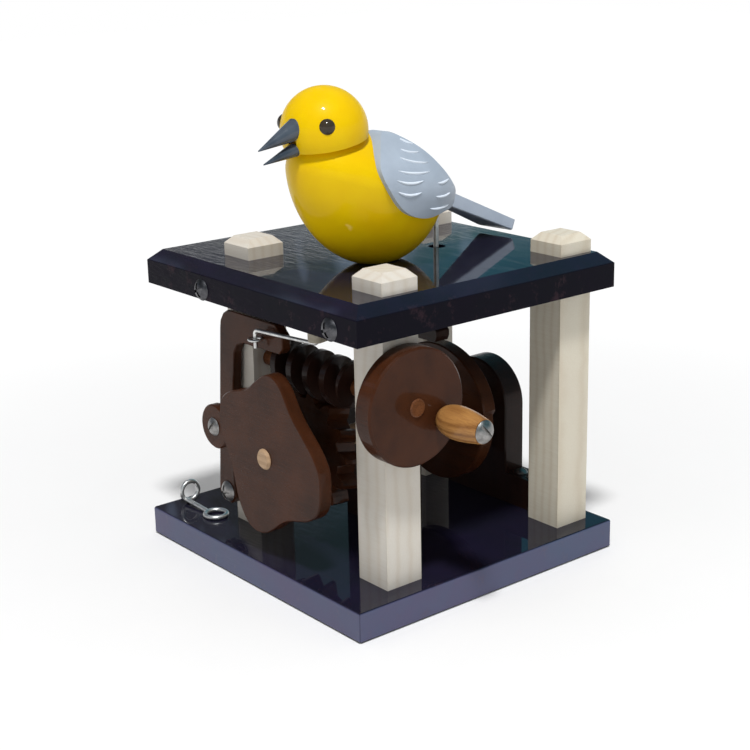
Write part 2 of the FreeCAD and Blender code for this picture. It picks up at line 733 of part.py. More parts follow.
# ---- The loose wire link that lies on the base

def buildBaseLink():
    wire = 1.1
    flat = Part.makeTorus(5.2, wire, Vector(24.3, -1.2, 0), Vector(0, 0, 1))
    upright = Part.makeTorus(4.7, wire, Vector(0, 0, 4.7), Vector(1, 0, 0))
    start = Vector(19.4, -2.4, 0)
    end = Vector(0, -2.9, 1.1)
    shank = Part.makeCylinder(wire, (end - start).Length, start, end - start)
    shape = flat.fuse([upright, shank]).removeSplitter()
    low = sizes["baseThick"] + wire + 0.05
    addNode("base_wire_link", shape, Placement(Vector(-73.6, -59.0, low), Rotation()))


# ---- Bird: local X runs to the tail, -Y is the side towards the front cam, Z is up

def birdPlacement(s=0.0, side=0.0, h=0.0, rotation=None):
    offset = birdTurn.multVec(Vector(s, side, h))
    spot = Vector(spindleAt[0], spindleAt[1], birdFloor) + offset
    return Placement(spot, birdTurn.multiply(rotation or Rotation()))


def ellipsoid(longRadius, upRadius, sideRadius, centre, tilt):
    shape = Part.makeSphere(1.0)
    matrix = FreeCAD.Matrix()
    matrix.scale(longRadius, sideRadius, upRadius)
    shape = shape.transformGeometry(matrix)
    shape.rotate(Vector(0, 0, 0), Vector(0, 1, 0), -tilt)
    shape.translate(Vector(centre[0], 0, centre[1]))
    return shape


def prism(points, near, far):
    """A flat outline in the bird's mid plane, extruded sideways from near to far."""
    corners = [Vector(s, near, h) for s, h in points]
    face = Part.Face(Part.makePolygon(corners + corners[:1]))
    return face.extrude(Vector(0, far - near, 0))


def roundedPrism(points, near, far):
    curve = Part.BSplineCurve()
    curve.interpolate([Vector(s, near, h) for s, h in points], PeriodicFlag=True)
    face = Part.Face(Part.Wire([curve.toShape()]))
    return face.extrude(Vector(0, far - near, 0))


seamStart, seamTilt = (-44.6, 52.9), 10.1
headCentre = (-27.8, 60.9)
eyeSpot = (-11.5, 14.2, 3.8)


def seamSlab(above, gap):
    """Everything above or below the plane where the head sits on the body."""
    box = Part.makeBox(200, 120, 100, Vector(-100, -60, 0 if above else -100))
    box.translate(Vector(0, 0, gap if above else -gap))
    box.rotate(Vector(0, 0, 0), Vector(0, 1, 0), -seamTilt)
    box.translate(Vector(seamStart[0], 0, seamStart[1]))
    return box


def birdShape(back=0.0, grow=0.0):
    """The egg of the body under the long curve of its back, their ridge rounded off."""
    egg = ellipsoid(45.0 + grow, 38.6 + grow, 28.0 + grow, (-2.8 + back, 42.0), -57.2)
    crown = ellipsoid(90.0 + grow, 90.0 + grow, 44.0 + grow, (-21.5 + back, -29.8), 0)
    shape = egg.common(crown)
    ridge = max(shape.Edges, key=lambda edge: edge.Length)
    return shape.makeFillet(14.0 + grow, [ridge])


def beakCone(root, tip, radius):
    """A sharp cone that starts inside the head; its root radius is met at the root point."""
    along = Vector(tip[0] - root[0], 0, tip[1] - root[1])
    length = along.Length
    along.normalize()
    inside = 5.0
    wide = radius * (length + inside) / length
    start = Vector(root[0], 0, root[1]) - along * inside
    return Part.makeCone(wide, 0.25, length + inside, start, along)


def buildBird():
    body = birdShape().common(seamSlab(False, 0.05))
    body = body.cut(Part.makeBox(120, 80, 40, Vector(-60, -40, -40 + 0.4)))
    body = body.cut(Part.makeCylinder(sizes["spindleRadius"] + sizes["gluedFit"], 18.0,
                                      Vector(0, 0, -0.5)))
    neckAxis = Vector(-math.sin(math.radians(seamTilt)), 0, math.cos(math.radians(seamTilt)))
    neckBase = Vector(headCentre[0], 0, headCentre[1]) - neckAxis * 7.0
    neckHole = Part.makeCylinder(3.03, 20.0, neckBase - neckAxis * 10.0, neckAxis)
    body = body.cut(neckHole)
    px, pz = tailPivot
    # Room for the tail's root at rest and lifted by 12 degrees
    slot = prism([(24.2, 25.4), (24.2, 35.0), (28.0, 34.4), (46.0, 29.8), (46.0, 17.4),
                  (27.0, 25.4)], -4.0, 4.0)
    body = body.cut(slot)
    body = body.cut(Part.makeCylinder(1.23, 50, Vector(px, -9.7, pz), Vector(0, 1, 0)))
    addNode("bird_body", body, birdPlacement())

    head = Part.makeSphere(sizes["headRadius"], Vector(headCentre[0], 0, headCentre[1]))
    head = head.common(seamSlab(True, 0.05)).cut(neckHole)
    mouth = Part.makeBox(8.0, 4.6, 11.0, Vector(-51.0, -2.3, 50.4))
    addNode("bird_head", head.cut(mouth), birdPlacement())
    pin = Part.makeCylinder(3.0, 19.0, neckBase - neckAxis * 9.6, neckAxis)
    addNode("neck_pin", pin, birdPlacement())

    ball = Part.makeSphere(sizes["headRadius"] + 0.02, Vector(headCentre[0], 0, headCentre[1]))
    upper = beakCone((-48.6, 61.5), (-64.4, 56.5), 3.7)
    addNode("upper_beak", upper.cut(ball), birdPlacement())
    lower = beakCone((-45.6, 54.6), (-61.9, 50.7), 2.9)
    lower = lower.cut(ball).cut(birdShape().common(seamSlab(False, 0.0)))
    addNode("lower_beak", biggest(lower), birdPlacement())

    for node, side in (("right_eye", 1), ("left_eye", -1)):
        outward = Vector(eyeSpot[0], side * eyeSpot[1], eyeSpot[2]).normalize()
        centre = Vector(headCentre[0], 0, headCentre[1]) + outward * (sizes["headRadius"] - 2.4)
        addNode(node, Part.makeSphere(3.9, centre).cut(ball), birdPlacement())

    outline = [(-5.9, 58.8), (-1.0, 58.1), (3.9, 55.6), (10.4, 51.3), (16.5, 45.4), (20.7, 39.6),
               (25.6, 33.8), (29.4, 28.8), (28.8, 24.6), (23.0, 23.0), (15.6, 22.5), (9.3, 21.9),
               (1.2, 22.5), (-5.0, 24.6), (-10.9, 28.5), (-15.3, 33.7), (-18.8, 39.5),
               (-20.4, 46.0), (-17.3, 51.8), (-12.5, 55.9)]
    inner = birdShape()
    swell = birdShape(back=3.0, grow=3.0)
    for node, side in (("right_wing", 1), ("left_wing", -1)):
        board = roundedPrism(outline, side * 5.0, side * 34.0)
        addNode(node, biggest(board.common(swell).cut(inner)), birdPlacement())

    tail = newBody("tail")
    half = sizes["tailRoot"] / 2
    outline = newSketch(tail, "XY_Plane", -half)
    addLines(outline, [(-3.0, -3.4), (12.0, -3.4), (60.6, -11.0), (60.6, 11.0), (12.0, 3.4),
                       (-3.0, 3.4)])
    board = pad(tail, outline, sizes["tailRoot"], "tailRoot")
    rounded = soften(tail, board, "Fillet", 2.0,
                     lambda edge: edge.BoundBox.XMin > 60 and edge.BoundBox.ZLength > 1)
    soften(tail, rounded, "Chamfer", 0.5, lambda edge: edge.BoundBox.ZMax < 0.01 - half)
    wedge = newSketch(tail, "XZ_Plane", -20)
    addLines(wedge, [(2.0, half), (62.0, sizes["tailTip"] - half), (62.0, half + 2.0),
                     (2.0, half + 2.0)])
    pocket(tail, wedge, 40, reverse=True)
    drill(tail, "XZ_Plane", 5, 0, 0, 1.26, 10)
    tail.Placement = birdPlacement(px, 0, pz, Rotation(Vector(0, 1, 0), tailSlope))
    addNode("tail_pin", Part.makeCylinder(1.2, 19.0, Vector(0, -9.5, 0), Vector(0, 1, 0)),
            birdPlacement(px, 0, pz))


def biggest(shape):
    return max(shape.Solids, key=lambda solid: solid.Volume)


buildBase()
buildTop()
for node, (x, y) in postCentres.items():
    buildPost(node, x, y)
buildFrameScrews()
buildCrank()
buildWorm()
buildWormWheel()
buildCamShaft()
buildCams()
buildBearingBlocks()
buildFrontLever()
buildLinkage()
buildRocker()
buildBaseLink()
buildBird()
doc.recompute()

faulty = []
for thing in doc.Objects:
    if "Invalid" in thing.State or "Error" in thing.State:
        faulty.append(thing.Label)
for node, obj in finished.items():
    shape = obj.Shape
    if shape.isNull() or not shape.isValid() or not shape.Solids:
        faulty.append(node)
        continue
    box = shape.BoundBox
    print("%-22s %d solid %8.1f mm3  x %.1f..%.1f y %.1f..%.1f z %.1f..%.1f" % (
        node, len(shape.Solids), shape.Volume,
        box.XMin, box.XMax, box.YMin, box.YMax, box.ZMin, box.ZMax))
if faulty:
    raise SystemExit("faulty: " + ", ".join(faulty))
for node, obj in finished.items():
    obj.Shape.exportStep("parts/%s.step" % node)
print(len(finished), "nodes written")
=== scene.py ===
import math

import bpy
import numpy as np
from mathutils import Matrix, Vector
from mathutils.bvhtree import BVHTree


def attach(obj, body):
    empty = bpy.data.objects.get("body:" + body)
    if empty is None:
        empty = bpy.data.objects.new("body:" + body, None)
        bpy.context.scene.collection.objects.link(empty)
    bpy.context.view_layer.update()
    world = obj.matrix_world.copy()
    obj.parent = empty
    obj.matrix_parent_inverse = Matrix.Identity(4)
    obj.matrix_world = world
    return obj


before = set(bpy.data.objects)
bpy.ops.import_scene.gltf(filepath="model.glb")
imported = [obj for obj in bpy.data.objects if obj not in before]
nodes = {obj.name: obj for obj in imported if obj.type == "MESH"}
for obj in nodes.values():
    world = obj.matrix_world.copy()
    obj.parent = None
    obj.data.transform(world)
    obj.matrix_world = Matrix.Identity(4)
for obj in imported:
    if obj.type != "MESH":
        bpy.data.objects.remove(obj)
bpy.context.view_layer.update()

print("stage: frame loaded,", len(nodes), "nodes")

# ---- the camera, at the three-quarter view from the crank side

cameraSettings = {
    "azimuth": -38.926,      # degrees from +X, camera towards the object turned round
    "elevation": 16.971,
    "roll": -1.288,
    "place": (0.53096, -0.42878, 0.29091),
    "focalPixels": 1528.5,
}


def makeCamera(settings):
    azimuth, elevation, roll = (math.radians(settings[k]) for k in ("azimuth", "elevation", "roll"))
    back = Vector((math.cos(elevation) * math.cos(azimuth),
                   math.cos(elevation) * math.sin(azimuth), math.sin(elevation)))
    right = (-back).cross(Vector((0, 0, 1))).normalized()
    up = right.cross(-back)
    turnedRight = math.cos(roll) * right + math.sin(roll) * up
    turnedUp = -math.sin(roll) * right + math.cos(roll) * up
    data = bpy.data.cameras.new("camera")
    data.sensor_width = 36.0
    data.lens = settings["focalPixels"] * 36.0 / 750.0
    data.clip_start, data.clip_end = 0.01, 20.0
    camera = bpy.data.objects.new("camera", data)
    bpy.context.scene.collection.objects.link(camera)
    axes = Matrix((turnedRight, turnedUp, back)).transposed()
    camera.matrix_world = Matrix.Translation(settings["place"]) @ axes.to_4x4()
    bpy.context.scene.camera = camera


makeCamera(cameraSettings)
bpy.context.scene.view_settings.view_transform = "Standard"
print("stage: camera")


# ---- shader building: a wrapped socket takes arithmetic, one method makes any other node

class Value:
    def __init__(self, look, socket):
        self.look = look
        self.socket = socket

    def math(self, operation, *others):
        return self.look.node("ShaderNodeMath", {"operation": operation},
                              dict(enumerate((self, *others))))

    def __add__(self, other):
        return self.math("ADD", other)

    def __radd__(self, other):
        return self.math("ADD", other)

    def __sub__(self, other):
        return self.math("SUBTRACT", other)

    def __rsub__(self, other):
        return self.look.node("ShaderNodeMath", {"operation": "SUBTRACT"}, {0: other, 1: self})

    def __mul__(self, other):
        return self.math("MULTIPLY", other)

    def __rmul__(self, other):
        return self.math("MULTIPLY", other)

    def __truediv__(self, other):
        return self.math("DIVIDE", other)

    def __pow__(self, other):
        return self.math("POWER", other)


class Look:
    def __init__(self, name, worldTree=None):
        if worldTree is None:
            self.material = bpy.data.materials.new(name)
            self.material.use_nodes = True
            self.tree = self.material.node_tree
            self.tree.nodes.clear()
            self.shader = self.tree.nodes.new("ShaderNodeBsdfPrincipled")
            self.end = self.tree.nodes.new("ShaderNodeOutputMaterial")
            self.tree.links.new(self.shader.outputs[0], self.end.inputs["Surface"])
        else:
            self.tree = worldTree
            self.tree.nodes.clear()
            self.end = self.tree.nodes.new("ShaderNodeOutputWorld")

    def node(self, kind, settings, inputs, output=0):
        made = self.tree.nodes.new(kind)
        for key, value in settings.items():
            setattr(made, key, value)
        for key, value in inputs.items():
            self.plug(made.inputs[key], value)
        return Value(self, made.outputs[output])

    def plug(self, socket, value):
        if isinstance(value, Value):
            self.tree.links.new(value.socket, socket)
        elif isinstance(value, tuple) and socket.type == "RGBA":
            socket.default_value = (*value, 1.0)
        else:
            socket.default_value = value

    def place(self, turn=(0, 0, 0), scale=(1, 1, 1), shift=(0, 0, 0)):
        # the object's own millimetres, shifted, turned and stretched
        spot = self.node("ShaderNodeTexCoord", {}, {}, "Object")
        big = self.node("ShaderNodeVectorMath", {"operation": "SCALE"}, {0: spot, "Scale": 1000.0})
        moved = self.node("ShaderNodeVectorMath", {"operation": "ADD"}, {0: big, 1: shift})
        return self.node("ShaderNodeMapping", {"vector_type": "POINT"},
                         {"Vector": moved, "Rotation": turn, "Scale": scale})

    def noise(self, at, scale, detail=3.0, rough=0.5, twist=0.0):
        return self.node("ShaderNodeTexNoise", {}, {"Vector": at, "Scale": scale, "Detail": detail,
                                                   "Roughness": rough, "Distortion": twist})

    def ramp(self, value, low, high, toLow=0.0, toHigh=1.0):
        # straight line from low..high onto toLow..toHigh, held at both ends
        return self.node("ShaderNodeMapRange", {"clamp": True},
                         {0: value, 1: low, 2: high, 3: toLow, 4: toHigh})

    def mix(self, part, first, second):
        return self.node("ShaderNodeMix", {"data_type": "RGBA"}, {0: part, 6: first, 7: second}, 2)

    def bump(self, height, strength, distance):
        return self.node("ShaderNodeBump", {}, {"Height": height, "Strength": strength,
                                                "Distance": distance})

    def extra(self, **sockets):
        # one more surface shader in the same material
        made = self.tree.nodes.new("ShaderNodeBsdfPrincipled")
        for key, value in sockets.items():
            self.plug(made.inputs[key.replace("_", " ")], value)
        return made

    def background(self, colour, strength):
        made = self.tree.nodes.new("ShaderNodeBackground")
        self.plug(made.inputs["Color"], colour)
        made.inputs["Strength"].default_value = strength
        return made

    def blend(self, part, first, second):
        made = self.tree.nodes.new("ShaderNodeMixShader")
        self.plug(made.inputs[0], part)
        self.tree.links.new(first.outputs[0], made.inputs[1])
        self.tree.links.new(second.outputs[0], made.inputs[2])
        return made

    def finish(self, **sockets):
        for key, value in sockets.items():
            self.plug(self.shader.inputs[key.replace("_", " ")], value)
        return self.material

    def axes(self, at):
        split = self.tree.nodes.new("ShaderNodeSeparateXYZ")
        self.plug(split.inputs[0], at)
        return [Value(self, split.outputs[i]) for i in range(3)]


# turns that lay the grain (local X) along each world axis
grainTurns = {
    "x": (0, 0, 0),
    "y": (0, 0, math.pi / 2),
    "z": (0, math.pi / 2, 0),
}


def woodLook(name, wood):
    # colour = light to dark by growth rings (distance from an off-centre pith, bent by
    # slow noise) plus fine streaks stretched along the grain
    look = Look(name)
    turn = wood.get("turn", grainTurns[wood.get("grain", "x")])
    at = look.place(turn=turn, shift=wood.get("shift", (0, 0, 0)))
    along = look.place(turn=turn, shift=wood.get("shift", (0, 0, 0)), scale=(0.06, 1.0, 1.0))
    slow = look.noise(along, wood.get("bendScale", 0.05), 2.0)
    x, y, z = look.axes(at)
    across = ((y - wood["pith"][0]) ** 2.0 + (z - wood["pith"][1]) ** 2.0) ** 0.5
    rings = (across * (6.2832 / wood["ring"]) + slow * wood["bend"]).math("SINE")
    rings = look.ramp(rings, -1.0, 1.0) ** wood.get("sharp", 2.0)
    streak = look.noise(along, wood.get("streakScale", 1.6), 5.0, 0.65)
    pore = look.noise(look.place(turn=turn, scale=(0.12, 1.0, 1.0)), wood.get("poreScale", 5.0), 2.0)
    blotch = look.noise(at, wood.get("blotchScale", 0.03), 3.0)
    shade = rings * wood["ringShare"] + look.ramp(streak, 0.3, 0.75) * wood["streakShare"]
    shade = shade + look.ramp(pore, 0.56, 0.72) * wood["poreShare"]
    colour = look.mix(look.ramp(shade, 0.0, 1.0), wood["light"], wood["dark"])
    colour = look.mix(look.ramp(blotch, 0.35, 0.7, 0.0, wood["blotchShare"]), colour, wood["blotch"])
    rough = look.ramp(streak, 0.3, 0.7, wood["rough"][0], wood["rough"][1])
    height = look.bump(streak + look.ramp(pore, 0.5, 0.7) * -0.6, wood["bump"], 0.0004)
    return look.finish(Base_Color=colour, Roughness=rough, Normal=height,
                       Coat_Weight=wood.get("coat", 0.0),
                       Coat_Roughness=wood.get("coatRough", 0.1),
                       Specular_IOR_Level=wood.get("specular", 0.25), IOR=1.48)


def lacquerLook(name, coat):
    # near black blue, a violet cast where the wood shows through, faint long waves of the brushed
    # surface in the gloss, rubbed edges, and a painted reflection colour on the vertical sides
    look = Look(name)
    at = look.place()
    wave = look.noise(look.place(scale=(0.25, 1.0, 1.0)), 0.12, 2.0)
    fine = look.noise(at, 1.4, 3.0, 0.6)
    cast = look.noise(at, 0.035, 3.0, 0.6)
    streak = look.noise(look.place(scale=(0.05, 1.0, 1.0)), 0.6, 4.0, 0.6)
    colour = look.mix(look.ramp(cast, 0.35, 0.7), coat["dark"], coat["cast"])
    colour = look.mix(look.ramp(streak, 0.55, 0.8, 0.0, 0.35), colour, coat["wood"])
    x, y, z = look.axes(at)
    sideX = (x - coat["centre"][0]).math("ABSOLUTE") - coat["half"][0]
    sideY = (y - coat["centre"][1]).math("ABSOLUTE") - coat["half"][1]
    inward = sideX.math("MAXIMUM", sideY)
    # painted reflection: near the vertical sides the lacquer's colour gives way to the side colour,
    # which paints in what the sides reflect
    side = look.ramp(inward, -0.5, -0.1)
    colour = look.mix(side, colour, look.mix(look.ramp(cast, 0.3, 0.7), coat["side"],
                                             coat["paintedSideReflectionCast"]))
    corner = look.ramp(inward + look.ramp(fine, 0.3, 0.7, -0.5, 0.5), -1.6, -0.1)
    worn = corner * look.ramp(look.noise(at, 0.12, 4.0, 0.7), 0.56, 0.70)
    colour = look.mix(worn * 0.22, colour, coat["rubbed"])
    rough = look.ramp(fine, 0.3, 0.7, coat["rough"][0], coat["rough"][1]) + side * 0.15 + worn * 0.2
    # brush marks along the front edge, stronger towards the left of the plate
    brush = look.noise(look.place(scale=(0.22, 1.0, 1.0)), 0.45, 3.0, 0.6)
    marks = brush * look.ramp(x + look.noise(at, 0.05, 2.0) * 40.0, 10.0, 40.0, 6.0, 0.3)
    height = look.bump(wave * 2.0 + fine * 0.12 + marks, 0.14, 0.0006)
    return look.finish(Base_Color=colour, Roughness=rough, Normal=height,
                       Coat_Weight=look.ramp(side, 0.0, 1.0, 0.7, coat["sideCoat"]),
                       Coat_Roughness=coat["coatRough"], Specular_IOR_Level=0.04, IOR=1.4)


def steelLook(name, steel):
    # zinc bright steel: grey with cloudy dulling and fine turning marks in the roughness
    look = Look(name)
    at = look.place()
    cloud = look.noise(at, 0.35, 4.0, 0.6)
    scratch = look.noise(look.place(scale=(1.0, 6.0, 1.0)), 2.2, 3.0, 0.6)
    colour = look.mix(look.ramp(cloud, 0.35, 0.7), steel["light"], steel["dark"])
    rough = look.ramp(scratch, 0.3, 0.7, steel["rough"][0], steel["rough"][1])
    height = look.bump(scratch, 0.06, 0.0003)
    return look.finish(Base_Color=colour, Roughness=rough, Normal=height, Metallic=1.0)


def paintLook(name, paint):
    # gloss paint over carved wood: slight change of tone, brush ripple, fine specks scattered at
    # random
    look = Look(name)
    at = look.place()
    tone = look.noise(at, 0.06, 3.0)
    ripple = look.noise(at, 0.35, 3.0, 0.55)
    speck = look.noise(at, 3.2, 2.0, 0.7)
    colour = look.mix(look.ramp(tone, 0.3, 0.72), paint["light"], paint["deep"])
    colour = look.mix(look.ramp(speck, 0.66, 0.8, 0.0, 0.4), colour, paint["speck"])
    rough = look.ramp(ripple, 0.3, 0.7, paint["rough"][0], paint["rough"][1])
    height = look.bump(ripple, paint["bump"], 0.0006)
    return look.finish(Base_Color=colour, Roughness=rough, Normal=height,
                       Coat_Weight=paint["coat"], Coat_Roughness=0.05, Coat_IOR=1.4,
                       Specular_IOR_Level=paint.get("specular", 0.2), IOR=1.4)


paleWood = {
    "light": (0.70, 0.67, 0.61), "dark": (0.56, 0.48, 0.38), "blotch": (0.64, 0.57, 0.47),
    "ring": 4.6, "bend": 5.0, "pith": (34.0, 22.0), "ringShare": 0.34, "streakShare": 0.3,
    "poreShare": 0.15, "blotchShare": 0.3, "rough": (0.42, 0.58), "bump": 0.12, "sharp": 2.4,
    "coat": 0.1, "coatRough": 0.3,
}
brownWood = {
    "light": (0.052, 0.016, 0.006), "dark": (0.012, 0.005, 0.003), "blotch": (0.066, 0.020, 0.007),
    "ring": 7.5, "bend": 9.0, "pith": (46.0, -20.0), "ringShare": 0.18, "streakShare": 0.6,
    "poreShare": 0.7, "blotchShare": 0.7, "rough": (0.24, 0.42), "bump": 0.22, "sharp": 1.4,
    "blotchScale": 0.055,
    "coat": 0.2, "coatRough": 0.045, "specular": 0.05,
}
# a darker copy of the brown varnish for the worm, bearing blocks and rocker inside the frame: painted
# shade
shadedBrownWood = dict(brownWood, light=(0.030, 0.012, 0.008), dark=(0.009, 0.005, 0.004),
                blotch=(0.018, 0.007, 0.005))
dowelWood = {
    "light": (0.50, 0.34, 0.21), "dark": (0.28, 0.17, 0.09), "blotch": (0.34, 0.21, 0.12),
    "ring": 3.2, "bend": 4.0, "pith": (12.0, 9.0), "ringShare": 0.4, "streakShare": 0.45,
    "poreShare": 0.25, "blotchShare": 0.4, "rough": (0.4, 0.55), "bump": 0.12,
}
handleWood = {
    "light": (0.46, 0.23, 0.07), "dark": (0.17, 0.065, 0.018), "blotch": (0.29, 0.12, 0.032),
    "ring": 3.0, "bend": 5.0, "pith": (14.0, 7.0), "ringShare": 0.5, "streakShare": 0.55,
    "poreShare": 0.3, "blotchShare": 0.4, "rough": (0.25, 0.38), "bump": 0.1,
    "coat": 0.35, "coatRough": 0.1, "specular": 0.12,
}
navy = {
    "dark": (0.009, 0.0095, 0.018), "cast": (0.012, 0.010, 0.026), "wood": (0.022, 0.010, 0.018),
    "rubbed": (0.10, 0.05, 0.06), "rough": (0.035, 0.08), "coatRough": 0.025,
}
zinc = {"light": (0.36, 0.35, 0.34), "dark": (0.17, 0.165, 0.16), "rough": (0.32, 0.5)}
darkSteel = {"light": (0.13, 0.13, 0.14), "dark": (0.05, 0.05, 0.055), "rough": (0.3, 0.44)}
brightWire = {"light": (0.82, 0.82, 0.80), "dark": (0.50, 0.50, 0.50), "rough": (0.34, 0.5)}
yellowPaint = {
    "light": (0.80, 0.54, 0.0010), "deep": (0.76, 0.47, 0.0008), "speck": (0.6, 0.32, 0.002),
    "rough": (0.34, 0.44), "bump": 0.05, "coat": 0.26, "specular": 0.06,
}
greyPaint = {
    "light": (0.42, 0.49, 0.58), "deep": (0.34, 0.40, 0.48), "speck": (0.50, 0.56, 0.64),
    "rough": (0.40, 0.52), "bump": 0.12, "coat": 0.15,
}
beakPaint = {
    "light": (0.085, 0.105, 0.135), "deep": (0.030, 0.040, 0.055), "speck": (0.20, 0.22, 0.25),
    "rough": (0.2, 0.3), "bump": 0.2, "coat": 0.8,
}
eyePaint = {
    "light": (0.050, 0.038, 0.024), "deep": (0.026, 0.02, 0.014), "speck": (0.12, 0.1, 0.07),
    "rough": (0.12, 0.2), "bump": 0.05, "coat": 0.6,
}

looks = {
    # base plate sides: painted reflection of the lit ground, a light blue grey
    "base_plate": lacquerLook("navy_base", dict(
        navy, centre=(0.0, 0.0), half=(80.5, 76.0), side=(0.074, 0.094, 0.165),
        paintedSideReflectionCast=(0.088, 0.082, 0.155), sideCoat=0.5)),
    # top plate sides: painted reflection of dark surroundings, darker than the top
    "top_plate": lacquerLook("navy_top", dict(
        navy, centre=(1.0, 1.5), half=(78.0, 74.0), side=(0.005, 0.005, 0.009),
        paintedSideReflectionCast=(0.006, 0.004, 0.010), sideCoat=0.03)),
    "near_post": woodLook("maple_near", dict(paleWood, grain="z", shift=(0, 0, 0))),
    # a darker, yellower copy of the pale maple: painted shade for the post that stands in the top
    # plate's shadow
    "right_post": woodLook("maple_right_shaded", dict(paleWood, grain="z", shift=(31, 17, 60),
                                              light=(0.71, 0.67, 0.56), dark=(0.54, 0.45, 0.32))),
    "left_post": woodLook("maple_left", dict(paleWood, grain="z", shift=(11, 40, 130))),
    "far_post": woodLook("maple_far", dict(paleWood, grain="z", shift=(50, -20, 220))),
    "crank_wheel": woodLook("varnish_wheel", dict(brownWood, grain="z", shift=(0, 12, 8))),
    "front_cam": woodLook("varnish_cam", dict(brownWood, grain="z", shift=(18, 0, 4))),
    "rear_cam": woodLook("varnish_rear_cam", dict(brownWood, grain="x", shift=(7, 3, 44))),
    "worm": woodLook("varnish_worm", dict(shadedBrownWood, grain="x", shift=(0, 5, 0))),
    "worm_wheel": woodLook("varnish_gear", dict(brownWood, grain="x", shift=(30, 9, 0))),
    "front_lever": woodLook("varnish_lever", dict(brownWood, grain="z", shift=(9, 5, 61))),
    "roller": woodLook("varnish_roller", dict(brownWood, grain="x", shift=(3, 0, 90))),
    "middle_bearing_block": woodLook("varnish_block_a", dict(shadedBrownWood, grain="z")),
    "rear_bearing_block": woodLook("varnish_block_b", dict(shadedBrownWood, grain="z", shift=(5, 0, 30))),
    "rear_rocker": woodLook("varnish_rocker", dict(shadedBrownWood, grain="x", shift=(0, 0, 14))),
    "crank_handle": woodLook("handle_wood", dict(handleWood, grain="x", shift=(0, 3, 0))),
    "crank_shaft": woodLook("dowel_crank", dict(brownWood, grain="x", light=(0.24, 0.09, 0.035))),
    "cam_shaft": woodLook("dowel_cam", dict(dowelWood, grain="y")),
    # pale maple darkened: painted shade for an arm that sits in shadow
    "steering_arm": woodLook("maple_arm_shaded", dict(paleWood, grain="y", shift=(4, 0, 9),
                                               light=(0.34, 0.31, 0.24), dark=(0.2, 0.17, 0.12))),
    "spindle": woodLook("dowel_spindle", dict(dowelWood, grain="z")),
    "spindle_collar": woodLook("dowel_collar", dict(dowelWood, grain="x", shift=(6, 0, 0))),
    "neck_pin": woodLook("dowel_neck", dict(dowelWood, grain="z", shift=(9, 0, 0))),
    "rocker_spacer": woodLook("dowel_spacer", dict(dowelWood, grain="y", shift=(2, 0, 0))),
}
zincLook = steelLook("zinc_steel", zinc)
wireLook = steelLook("bright_wire", brightWire)
for name in ("base_screws", "top_plate_screws", "handle_screw", "bearing_block_screws",
             "lever_washer", "lever_pivot_screw", "roller_screw", "rocker_pivot_screw", "tail_pin"):
    looks[name] = zincLook
looks["top_plate_screws"] = steelLook("dark_steel", darkSteel)
for name in ("lever_eye", "link_wire", "push_rod", "base_wire_link"):
    looks[name] = wireLook
yellowLook = paintLook("yellow_gloss", yellowPaint)
greyLook = paintLook("grey_gloss", greyPaint)
looks.update(bird_body=yellowLook, bird_head=yellowLook, left_wing=greyLook, right_wing=greyLook,
             tail=paintLook("tail_grey", dict(greyPaint, light=(0.50, 0.58, 0.69),
                                              deep=(0.42, 0.49, 0.60))))
beakLook = paintLook("beak_gloss", beakPaint)
looks.update(upper_beak=beakLook, lower_beak=beakLook)
eyeLook = paintLook("eye_gloss", eyePaint)
looks.update(left_eye=eyeLook, right_eye=eyeLook)

for name, node in nodes.items():
    node.data.materials.clear()
    node.data.materials.append(looks[name])
print("stage: finishes on", len(nodes), "nodes")


# ---- wing strokes: thin raised lines laid on the carved wings, in the bird's own directions

bird = {
    "spindle": (18.2, -13.7), "floor": 142.0, "heading": 96.0,    # mm, mm, degrees
}
strokes = {
    # start, deepest point and end: along to the tail, height over the table (mm)
    "lines": (
        ((1.1, 55.2), (3.5, 53.7), (6.9, 52.6)),
        ((-3.6, 51.8), (0.8, 50.2), (7.0, 49.5)),
        ((-7.1, 48.9), (-0.2, 46.5), (8.8, 45.0)),
        ((-11.6, 44.3), (-3.5, 42.4), (6.8, 41.6)),
        ((-13.5, 40.6), (-7.2, 38.7), (0.4, 38.7)),
        ((-13.2, 35.7), (-7.6, 33.8), (-1.7, 34.1)),
        ((11.1, 36.3), (15.2, 35.9), (20.8, 36.4)),
        ((9.0, 30.9), (14.2, 30.1), (20.1, 30.6)),
        ((5.9, 26.0), (12.3, 25.1), (19.8, 25.3)),
    ),
    "halfWidth": 0.72, "height": 0.55, "sink": 0.15,    # mm
    "castFrom": 60.0,       # mm beside the bird's middle
    "overrun": 1.08,        # how far past start and end a line is drawn
    "stations": 30, "columns": 7, "tip": 0.03,
}


def birdAxes():
    turn = math.radians(bird["heading"])
    along = Vector((math.cos(turn), math.sin(turn), 0.0))
    left = Vector((math.sin(turn), -math.cos(turn), 0.0))
    base = Vector((*bird["spindle"], bird["floor"])) / 1000.0
    return base, along, left


def onLine(line, t):
    # the parabola through start, deepest point and end, where t runs from -1 to 1
    start, deep, end = (np.array(point) for point in line)
    return deep + (end - start) / 2 * t + ((start + end) / 2 - deep) * t * t


def castLine(tree, line, outward):
    # the line's stations, dropped onto the wing from the side: t, place and normal of each
    base, along, left = birdAxes()
    track = []
    for t in np.linspace(-1.0, 1.0, strokes["stations"]) * strokes["overrun"]:
        s, h = onLine(line, t)
        eye = (base + along * (s / 1000) + Vector((0, 0, h / 1000))
               + outward * (strokes["castFrom"] / 1000))
        spot, normal = tree.ray_cast(eye, -outward)[:2]
        if spot is not None:
            track.append((t, spot, normal))
    return track


